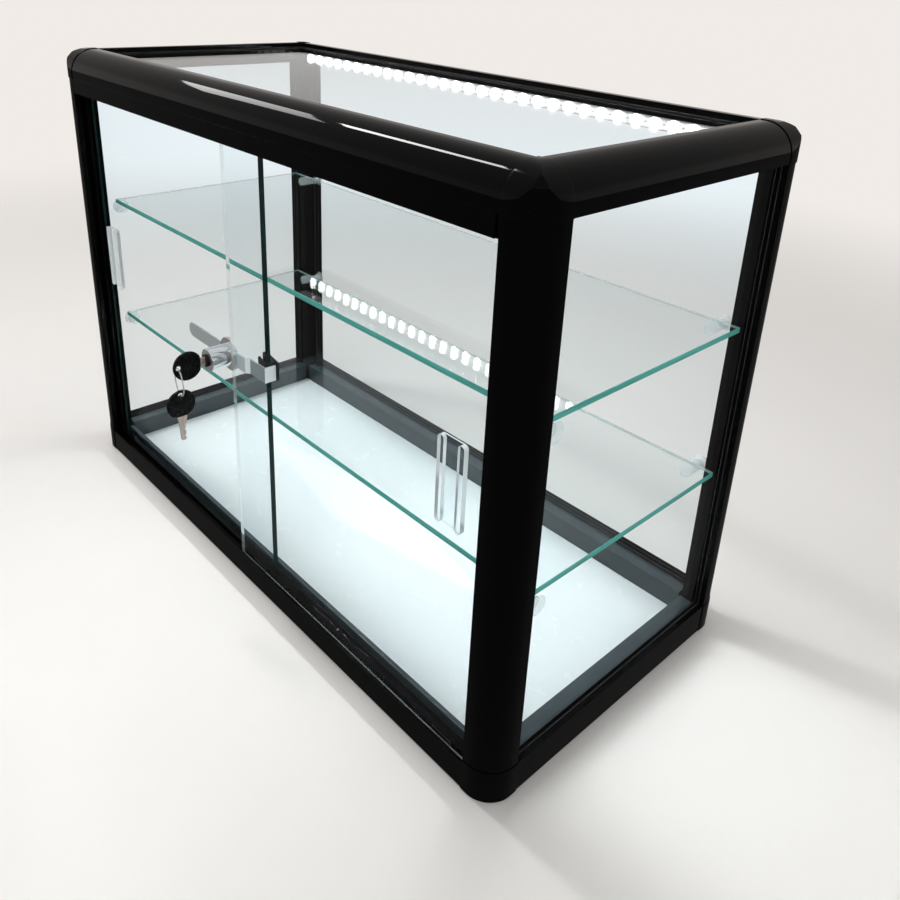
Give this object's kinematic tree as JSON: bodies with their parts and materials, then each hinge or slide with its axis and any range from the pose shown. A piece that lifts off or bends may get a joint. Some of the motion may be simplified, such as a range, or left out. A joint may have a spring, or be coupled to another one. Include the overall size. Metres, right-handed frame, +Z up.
{
  "type": "countertop display case",
  "caption": "Countertop glass display case in a rounded black frame, with sliding doors, glass shelves, a light strip and a ratchet lock with keys.",
  "frame": {"origin": "middle of the frame's footprint, on the underside that it stands on", "axes": "+Z up, +X along the doors to the right as seen from the front, -Y out of the doors"},
  "size_m": [0.6914, 0.3764, 0.4867],
  "materials": {
    "frame_black": "gloss",
    "corner_black": "gloss",
    "pane_glass": "clear, polished",
    "gasket_black": "satin",
    "deck_white": "gloss",
    "shelf_glass": "clear with green edges",
    "clear_plastic": "clear, moulded",
    "light_channel": "satin",
    "light_board": "matte",
    "light_chip": "lit",
    "socket_black": "matte",
    "header_black": "satin",
    "door_glass": "clear, polished",
    "glide_nylon": "matte",
    "lock_chrome": "bright",
    "liner_rubber": "matte",
    "plug_black": "satin",
    "key_nickel": "brushed",
    "key_black": "satin"
  },
  "bodies": {
    "case": {"front_left_post": "frame_black", "front_right_post": "frame_black", "rear_left_post": "frame_black", "rear_right_post": "frame_black", "top_front_rail": "frame_black", "top_rear_rail": "frame_black", "top_left_rail": "frame_black", "top_right_rail": "frame_black", "front_sill_track": "frame_black", "bottom_rear_rail": "frame_black", "bottom_left_rail": "frame_black", "bottom_right_rail": "frame_black", "corner_bottom_front_left": "corner_black", "corner_bottom_front_right": "corner_black", "corner_bottom_rear_left": "corner_black", "corner_bottom_rear_right": "corner_black", "corner_top_front_left": "corner_black", "corner_top_front_right": "corner_black", "corner_top_rear_left": "corner_black", "corner_top_rear_right": "corner_black", "top_glass": "pane_glass", "rear_glass": "pane_glass", "left_glass": "pane_glass", "right_glass": "pane_glass", "top_gasket": "gasket_black", "rear_gasket": "gasket_black", "left_gasket": "gasket_black", "right_gasket": "gasket_black", "base_deck": "deck_white", "upper_shelf": "shelf_glass", "lower_shelf": "shelf_glass", "shelf_suction_cups": "clear_plastic", "shelf_support_pins": "clear_plastic", "led_channel": "light_channel", "led_board": "light_board", "led_chips": "light_chip", "led_lead": "socket_black", "power_socket": "socket_black", "door_fascia": "header_black", "upper_door_track": "header_black"},
    "left_door": {"left_door_glass": "door_glass", "left_door_pull": "clear_plastic", "left_door_glides": "glide_nylon", "lock_bar": "lock_chrome", "hook_liner": "liner_rubber"},
    "right_door": {"right_door_glass": "door_glass", "right_door_pull": "clear_plastic", "right_door_glides": "glide_nylon"},
    "lock": {"lock_body": "lock_chrome"},
    "plug": {"lock_plug": "plug_black", "lock_pawl": "key_nickel"},
    "key": {"key_blade": "key_nickel", "key_head": "key_black"},
    "key_ring": {"key_ring": "lock_chrome"},
    "spare_key": {"spare_key_blade": "key_nickel", "spare_key_head": "key_black"}
  },
  "joints": [
    {"name": "left_door_slide", "type": "slide", "parent": "case", "child": "left_door", "axis": [1, 0, 0], "range_m": [0, 0.276]},
    {"name": "right_door_slide", "type": "slide", "parent": "case", "child": "right_door", "axis": [1, 0, 0], "range_m": [-0.24, 0]},
    {"name": "lock_slide", "type": "slide", "parent": "right_door", "child": "lock", "axis": [1, 0, 0], "range_m": [-0.024, 0.003]},
    {"name": "key_turn", "type": "hinge", "parent": "lock", "child": "plug", "pos_m": [-0.0265, -0.1757, 0.238], "axis": [0, 1, 0], "range_deg": [0, 30]},
    {"name": "key_pull", "type": "slide", "parent": "plug", "child": "key", "axis": [0, -1, 0], "range_m": [0, 0.0215]},
    {"name": "ring_swing", "type": "hinge", "parent": "key", "child": "key_ring", "pos_m": [-0.0265, -0.2017, 0.238], "axis": [0, 1, 0], "range_deg": [-30, 0]},
    {"name": "spare_key_swing", "type": "hinge", "parent": "key_ring", "child": "spare_key", "pos_m": [-0.0265, -0.2017, 0.211], "axis": [1, 0, 0], "range_deg": [-35, 35]}
  ],
  "couplings": [
    {"joint": "ring_swing", "follows": "key_turn", "ratio": -1}
  ]
}
